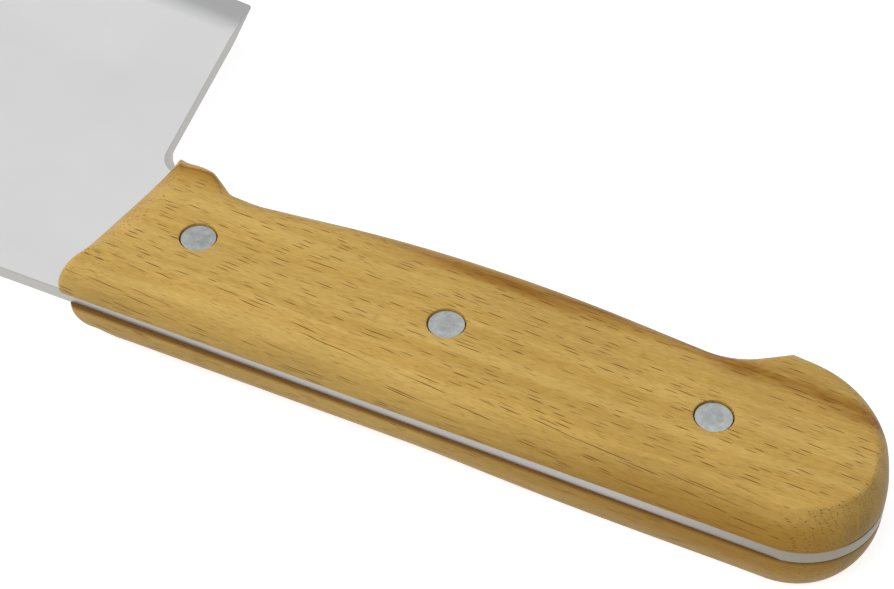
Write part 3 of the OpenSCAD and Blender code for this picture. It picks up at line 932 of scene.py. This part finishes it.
def make_scale(h, r, name, mirror):
    """A scale: the roundover's rings, then for each rivet a cell of the flat face that runs to the
    seat's rim, down the seat and the hole, and out over the inner face."""
    outline = handle_outline(h)
    inward = inward_directions(outline, DIRECTION_REACH)
    layers, inset = scale_layers(h, outline, inward)
    foot = np.column_stack([outline, np.full(len(outline), PLATE / 2)])[None]
    if mirror:
        layers, foot = (set_back(h, points, h.lower_setback) for points in (layers, foot))
    cuts = cut_places(outline, BETWEEN_RIVETS)
    shell = Shell()
    shell.grid(np.concatenate([foot, layers]), value=np.vstack([inset[:1], inset]))
    seat = r.head_diameter / 2 + r.seat_clearance
    floor_z, hole = seat_height(r), hole_radius(r)
    near = SEAT_RIM_SHARE * SEAT_RIM
    profile = [(seat + SEAT_RIM, TOP_Z), (seat + near, TOP_Z - near), (seat, TOP_Z - SEAT_RIM),
               (seat, floor_z), (hole, floor_z), (hole, PLATE / 2)]
    for rivet_x, top, bottom in zip(RIVET_X, cells(layers[-1], cuts), cells(foot[0], cuts)):
        rows = rows_facing(top, rivet_x, profile)
        shell.grid(between_rows(top, rows[0], CAP_STEPS))
        shell.grid(rows)
        shell.grid(between_rows(rows[-1], bottom, CAP_STEPS))
    piece = shell.build(name + "_dressed", [name], mirror=mirror)
    paint_scale(h, piece, shell.kept, mirror)
    return piece


# The dark streak in the wood, which is also painted shade on the finger side's roundover: points of its
# line, the widths and strengths of its core and its halo, the length over which it begins, and how
# strong it is on the lower scale
STREAK_X = (-0.030, -0.015, 0.0, 0.014, 0.028, 0.036, 0.042, 0.052, 0.062)
STREAK_Y = (0.0127, 0.0123, 0.0117, 0.0117, 0.0125, 0.0121, 0.0106, 0.0106, 0.0094)
STREAK_WIDTH = 0.0015
STREAK_SHARE = 0.75
HALO_WIDTH = 0.0038
HALO_SHARE = 0.3
STREAK_RUN = 0.035
LOWER_STREAK = 0.3

# The painted shade on the hump: the points of its crease line, and the length over which it ends
HUMP_X = (-0.054, -0.0475, -0.046, -0.0435)
HUMP_Y = (0.0129, 0.0134, 0.0125, 0.0106)
HUMP_FADE = 0.003

# Painted shade at the seam with the plate: its height above the plate, its darkness on each scale, and
# how far from the butt the upper one opens into the painted shadow of a gap
SEAM = 0.0007
UPPER_SEAM_SHADE = 0.15
LOWER_SEAM_SHADE = 0.85
GAP_SHADOW_RUN = 0.009

# Painted shade on the steep sides: how soon a slope counts as steep, its strength along the grip and
# what the butt adds;
# end grain, greyed by a painted sheen: how squarely the surface faces the butt; the painted highlight on
# the front rim: how far in from the outline it is full, and over what width it fades
STEEPNESS = 1.4
STEEP_SHADE = 0.08
BUTT_STEEP_SHADE = 0.6
END_GRAIN_FROM = 0.6
END_GRAIN_TO = 0.95
RIM_HIGHLIGHT_WIDTH = 0.0002
RIM_HIGHLIGHT_FADE = 0.0006


def paint_scale(h, piece, inset, mirror):
    """Numbers for the wood: the dark streak near the finger side, partly painted shade, a bell curve
    across a gentle line;
    painted shade on the steep sides, most of all round the butt, and end grain with a painted sheen
    where they face along the fibres; and painted shade at the seam with the plate, with the painted
    shadow of a gap at the butt, painted shade at the crease on the hump and a painted highlight on the
    front rim."""
    x, y, z = own_points(piece).T
    height = np.abs(z)
    normals = own_normals(piece)
    butt, _, front, hump = section_shares(h, x, y)
    # The dark streak is grain and also painted shade on the finger side's roundover
    off = y - np.interp(x, STREAK_X, STREAK_Y)
    streak_and_shade = STREAK_SHARE * np.exp(-(off / STREAK_WIDTH) ** 2)
    streak_and_shade += HALO_SHARE * np.exp(-(off / HALO_WIDTH) ** 2)
    streak_and_shade *= ease((x - STREAK_X[0]) / STREAK_RUN) * (LOWER_STREAK if mirror else 1)
    set_values(piece, "streak_and_shade", streak_and_shade)
    # Painted shade on the steep sides, full at the seam
    steep = (1 - ease(np.abs(normals[:, 2]) * STEEPNESS)) * (height < TOP_Z - CLOSE)
    # Painted shade at the seam with the plate
    seam_shade = height < PLATE / 2 + SEAM
    set_values(piece, "shaded_wood", np.where(seam_shade, 1.0, steep) * (STEEP_SHADE + BUTT_STEEP_SHADE * butt))
    set_values(piece, "seam_shade", seam_shade * (LOWER_SEAM_SHADE if mirror else UPPER_SEAM_SHADE))
    # Painted shadow of a gap at the butt, on the upper scale's seam
    gap = 0 if mirror else ease(1 + (x - handle_places(h)[1]) / GAP_SHADOW_RUN)
    set_values(piece, "gap", seam_shade * gap)
    # End grain where the surface faces the butt, greyed as a painted sheen
    end = ease((normals[:, 0] - END_GRAIN_FROM) / (END_GRAIN_TO - END_GRAIN_FROM))
    set_values(piece, "end_grain_and_sheen", end * steep * butt)
    # Painted shade on the hump, below its crease line
    set_values(piece, "below_crease", (np.interp(x, HUMP_X, HUMP_Y) - y) * MILLIMETRES[1])
    set_values(piece, "hump", hump * (1 - ease((x - HUMP_X[-1] + HUMP_FADE) / HUMP_FADE)))
    # Painted highlight along the front rim
    set_values(piece, "rim", front * (1 - ease((inset - RIM_HIGHLIGHT_WIDTH) / RIM_HIGHLIGHT_FADE)))


class CLEAVER_OT_blade(Operator):
    """Build the blade and its tang as one closed plate with broken edges"""
    bl_idname = "cleaver.blade"
    bl_label = "Blade and Tang"

    def execute(self, context):
        b, h = context.scene.cleaver_blade, context.scene.cleaver_handle
        r = context.scene.cleaver_rivets
        material = steel_material(b)
        piece = make_blade(b, h, r)
        piece.data.materials.append(material)
        return {"FINISHED"}


# How far the chords reach that give the way in from the outline, the most of the plate that a broken
# edge takes up, and the rows on a broken edge and a bevel
RING_REACH = 0.0004
BREAK_SHARE = 0.7
BREAK_ROWS = 4
BEVEL_STEPS = 4

# Rows that are kept of the fan over the blade's flat face: the second lies close to the bevel, so that
# the bevel's shading ends there
POLE_ROWS = [0, 1, 15, 30, 45]


def broken_edge(b, ring, half):
    """The plate's broken edge as rings of points: a quarter circle from the outline up to the face,
    which lies at half the plate's thickness, given for each point."""
    inward = inward_directions(ring, RING_REACH)
    broken = np.minimum(b.edge_break, BREAK_SHARE * half)
    a = np.linspace(0, np.pi / 2, BREAK_ROWS)[:, None]
    rows = ring[None] + inward[None] * (broken * (1 - np.cos(a)))[:, :, None]
    return np.dstack([rows, np.clip(half - broken + broken * np.sin(a), 0, None)])


def make_blade(b, h, r):
    """The plate: a broken edge carried round its outline, the ground bevel from the outline in to the
    bevel's start, and flat cells, one to a pole in the blade and one round each hole of the tang."""
    ring, centre, tang_x = blade_outline(b, h, handle_outline(h))

    def half_thickness(points):
        """Half of the plate's thickness, which falls off in a straight line over the bevel."""
        depth = b.belly_radius - np.linalg.norm(points - centre, axis=-1)
        share = np.clip(depth / b.bevel_width, 0, 1)
        return b.edge_thickness / 2 + (PLATE - b.edge_thickness) / 2 * share

    rim = broken_edge(b, ring, half_thickness(ring))
    rim[-1, :, 2] = half_thickness(rim[-1, :, :2])
    middle = np.column_stack([ring, np.zeros(len(ring))])[None]
    inner = inside_circle(rim[-1, :, :2], centre, b.belly_radius - b.bevel_width)
    inner = np.column_stack([inner, half_thickness(inner)])
    loops = cells(inner, cut_places(ring, [tang_x, *BETWEEN_RIVETS]))
    pole = np.broadcast_to([(TOE_X + tang_x) / 2, b.heel_depth / 3, PLATE / 2], loops[0].shape)
    grids = [np.concatenate([middle, rim]), between_rows(rim[-1], inner, BEVEL_STEPS),
             between_rows(loops[0], pole, POLE_ROWS[-1])[POLE_ROWS]]
    hole = [(hole_radius(r), PLATE / 2), (hole_radius(r), 0)]
    for rivet_x, loop in zip(RIVET_X, loops[1:]):
        rows = rows_facing(loop, rivet_x, hole)
        grids += [between_rows(loop, rows[0], CAP_STEPS), rows]
    shell = Shell()
    for side in (1, -1):
        for rows in grids:
            shell.grid(slant_choil(b, h, rows * np.array([1, 1, side])))
    piece = shell.build("blade_dressed", ["blade"], sharp_angle=30)
    paint_blade(b, piece, centre, half_thickness)
    return piece


# The share of the bevel's width that is fully ground, and where the tarnish begins behind the middle
# rivet, the length over which it grows and its strength
GROUND_SHARE = 0.45
TARNISH_FROM = 0.03
TARNISH_RUN = 0.035
TARNISH_SHARE = 0.8


def paint_blade(b, piece, centre, half_thickness):
    """Numbers for the steel: the ground bevels, which fade out over the rest of their width, the
    sheared sides, and the tarnish that sets in towards the butt."""
    x, y, z = own_points(piece).T
    depth = b.belly_radius - np.hypot(x - centre[0], y - centre[1])
    share = depth / b.bevel_width
    set_values(piece, "ground", 1 - ease((share - GROUND_SHARE) / (1 - GROUND_SHARE)))
    side = np.abs(z) < half_thickness(np.stack([x, y], 1)) - CLOSE
    set_values(piece, "side", side.astype(float))
    set_values(piece, "tarnish", side * TARNISH_SHARE * ease((x - TARNISH_FROM) / TARNISH_RUN))


class CLEAVER_OT_rivets(Operator):
    """Build the posts and the sleeves of the three two-piece rivets"""
    bl_idname = "cleaver.rivets"
    bl_label = "Rivets"

    def execute(self, context):
        r = context.scene.cleaver_rivets
        material = rivet_material(r)
        for turn, (name, rivet_x) in enumerate(zip(RIVET_NAMES, RIVET_X)):
            for part, mirror in (("post", False), ("sleeve", True)):
                piece = make_rivet(r, f"{name}_rivet_{part}", rivet_x, mirror, turn)
                piece.data.materials.append(material)
        return {"FINISHED"}


# Points from the middle of a head to its rim and round the rim, and steps of a whole turn
FACE_POINTS = 15
RIM_POINTS = 6
TURN_STEPS = 72


def make_rivet(r, name, rivet_x, mirror, turn):
    """A rivet half: a profile turned about the rivet's axis, its head dished by a bell curve in the
    middle, rounded at the rim by an arc and dented by a few slow waves."""
    seat_z = seat_height(r)
    top_z = TOP_Z - r.head_sink
    head = r.head_diameter / 2
    sleeve_length = 2 * seat_z - r.end_clearance
    bore_depth = sleeve_length - r.end_clearance
    face = np.linspace(0, head - r.rim_round, FACE_POINTS)
    dish = r.dimple_depth * np.exp(-(face / r.dimple_radius) ** 2 * 2)
    a = np.linspace(0, np.pi / 2, RIM_POINTS)[1:]
    rim = np.stack([head - r.rim_round + r.rim_round * np.sin(a),
                    top_z - r.rim_round + r.rim_round * np.cos(a)], 1)
    crown = np.vstack([np.stack([face, top_z - dish], 1), rim, [(head, seat_z)]])
    if mirror:
        tip_z = seat_z - sleeve_length
        bore = r.post_diameter / 2 + r.post_clearance
        shank = [(r.sleeve_diameter / 2, seat_z), (r.sleeve_diameter / 2, tip_z),
                 (bore, tip_z), (bore, tip_z + bore_depth), (0, tip_z + bore_depth)]
    else:
        shank = [(r.post_diameter / 2, seat_z), (r.post_diameter / 2, seat_z - bore_depth),
                 (0, seat_z - bore_depth)]
    angles = np.linspace(0, 2 * np.pi, TURN_STEPS, endpoint=False)
    rows = circle_rows(angles, rivet_x, np.vstack([crown, shank]))
    x, y = (rows[:, :, 0] - rivet_x) / head, rows[:, :, 1] / head
    top_quarter = ease((rows[:, :, 2] - seat_z) / (top_z - seat_z) * 4 - 3)
    rows[:, :, 2] -= r.dent_depth * dents(x, y, turn) * top_quarter
    shell = Shell()
    shell.grid(rows)
    piece = shell.build(name + "_dressed", [name], sharp_angle=50, mirror=mirror)
    x, y, _ = own_points(piece).T
    set_values(piece, "from_axis", np.hypot(x - rivet_x, y) * MILLIMETRES[0])
    return piece


def dents(x, y, turn):
    """How deep a head is dented, from 0 to 1, at a place in shares of its radius: two crossed waves and
    a third one, other ones for each rivet, that die out with the fourth power of the radius."""
    waves = np.sin(2.6 * x + 1.3 * turn) * np.cos(3.1 * y - 0.7 * turn) + np.sin(4.3 * y + turn) / 2
    return (waves + 1.5) / 3 * (1 - (x * x + y * y) ** 2)


class CLEAVER_OT_stage(Operator):
    """Set up the pale floor, the soft light and the camera"""
    bl_idname = "cleaver.stage"
    bl_label = "Studio"

    def execute(self, context):
        s = context.scene.cleaver_studio
        make_floor(s)
        make_sky(s)
        make_lamp(s)
        make_camera(s)
        context.scene.view_settings.view_transform = "Standard"
        return {"FINISHED"}


def seen_ray(t):
    """1 for rays from the camera, off metal or through glass, which see the pale background."""
    path = t.node("ShaderNodeLightPath").outputs
    seen = t.math("MAXIMUM", path["Is Camera Ray"], path["Is Glossy Ray"])
    return t.math("MAXIMUM", seen, path["Is Transmission Ray"])


FLOOR_GREY = (0.55, 0.55, 0.55, 1)
WHITE = (1, 1, 1, 1)


def make_floor(s):
    """A pale square floor, which adds light of its own where it is seen and keeps the shadow."""
    half = s.floor_size / 2
    mesh = bpy.data.meshes.new("floor")
    corners = [(-half, -half, 0), (half, -half, 0), (half, half, 0), (-half, half, 0)]
    mesh.from_pydata(corners, [], [(0, 1, 2, 3)])
    floor = bpy.data.objects.new("floor", mesh)
    bpy.context.scene.collection.objects.link(floor)
    material, t, shader = new_material("pale_floor", roughness=1.0, specular=0.0)
    shader.inputs["Base Color"].default_value = FLOOR_GREY
    shader.inputs["Emission Color"].default_value = WHITE
    t.link(t.times(seen_ray(t), s.floor_glow), shader.inputs["Emission Strength"])
    mesh.materials.append(material)


def make_sky(s):
    """Even light from all round, and white where it is seen."""
    world = bpy.data.worlds.new("pale_sky")
    bpy.context.scene.world = world
    world.use_nodes = True
    t = Tree(world.node_tree)
    background = world.node_tree.nodes["Background"]
    background.inputs["Color"].default_value = WHITE
    strength = t.smooth(seen_ray(t), 0.0, 1.0, s.sky_strength, 1.0)
    t.link(strength, background.inputs["Strength"])


# The lamp's width and depth, and its place from the middle rivet
LAMP_SIZE = (1.2, 0.9)
LAMP_PLACE = Vector((-0.34, -0.30, 0.74))


def make_lamp(s):
    """One wide soft lamp overhead, towards the toe and the spine, which metal doesn't mirror."""
    lamp = bpy.data.lights.new("overhead_softbox", "AREA")
    lamp.shape = "RECTANGLE"
    lamp.size, lamp.size_y = LAMP_SIZE
    lamp.energy = s.key_power
    piece = bpy.data.objects.new("overhead_softbox", lamp)
    piece.matrix_world = look_at(Vector(HOME) + LAMP_PLACE, Vector(HOME))
    piece.visible_glossy = False
    bpy.context.scene.collection.objects.link(piece)


def look_at(place, target):
    """The matrix of something at a place that looks at a target, with its top upwards."""
    back = (place - target).normalized()
    right = Vector((0, 0, 1)).cross(back).normalized()
    matrix = Matrix((right, back.cross(right), back)).transposed().to_4x4()
    matrix.translation = place
    return matrix


SENSOR_WIDTH = 36
NEAREST_SEEN = 0.01


def make_camera(s):
    """A camera on a line from the middle rivet's top, shifted square to that line to aim it."""
    target = Vector((HOME[0], HOME[1], HOME[2] + TOP_Z))
    level = math.cos(s.elevation)
    back = Vector((math.cos(s.azimuth) * level, math.sin(s.azimuth) * level,
                   math.sin(s.elevation)))
    matrix = look_at(target + back, target)
    right, rise = matrix.col[0].xyz, matrix.col[1].xyz
    matrix.translation = target + back * s.distance + right * s.aim_side + rise * s.aim_rise
    lens = bpy.data.cameras.new("photo_camera")
    lens.lens = s.lens
    lens.sensor_width = SENSOR_WIDTH
    lens.sensor_fit = "HORIZONTAL"
    lens.clip_start = NEAREST_SEEN
    camera = bpy.data.objects.new("photo_camera", lens)
    camera.matrix_world = matrix
    bpy.context.scene.collection.objects.link(camera)
    bpy.context.scene.camera = camera


class CLEAVER_PT_panel(Panel):
    """The cleaver's pieces and its studio, in the order in which they are made"""
    bl_label = "Chinese Cleaver"
    bl_idname = "CLEAVER_PT_panel"
    bl_space_type = "VIEW_3D"
    bl_region_type = "UI"
    bl_category = "Cleaver"

    def draw(self, context):
        for operator in OPERATORS:
            self.layout.operator(operator.bl_idname)


SETTINGS = {
    "cleaver_blade": BladeSettings,
    "cleaver_handle": HandleSettings,
    "cleaver_rivets": RivetSettings,
    "cleaver_studio": StudioSettings,
}
OPERATORS = (CLEAVER_OT_stage, CLEAVER_OT_blade, CLEAVER_OT_scales, CLEAVER_OT_rivets)
CLASSES = (*SETTINGS.values(), *OPERATORS, CLEAVER_PT_panel)


def register():
    for item in CLASSES:
        bpy.utils.register_class(item)
    for name, group in SETTINGS.items():
        setattr(bpy.types.Scene, name, PointerProperty(type=group))


def unregister():
    for name in SETTINGS:
        delattr(bpy.types.Scene, name)
    for item in reversed(CLASSES):
        bpy.utils.unregister_class(item)


def main():
    register()
    bpy.ops.cleaver.stage()
    bpy.ops.cleaver.blade()
    bpy.ops.cleaver.scales()
    bpy.ops.cleaver.rivets()


if __name__ == "__main__":
    main()
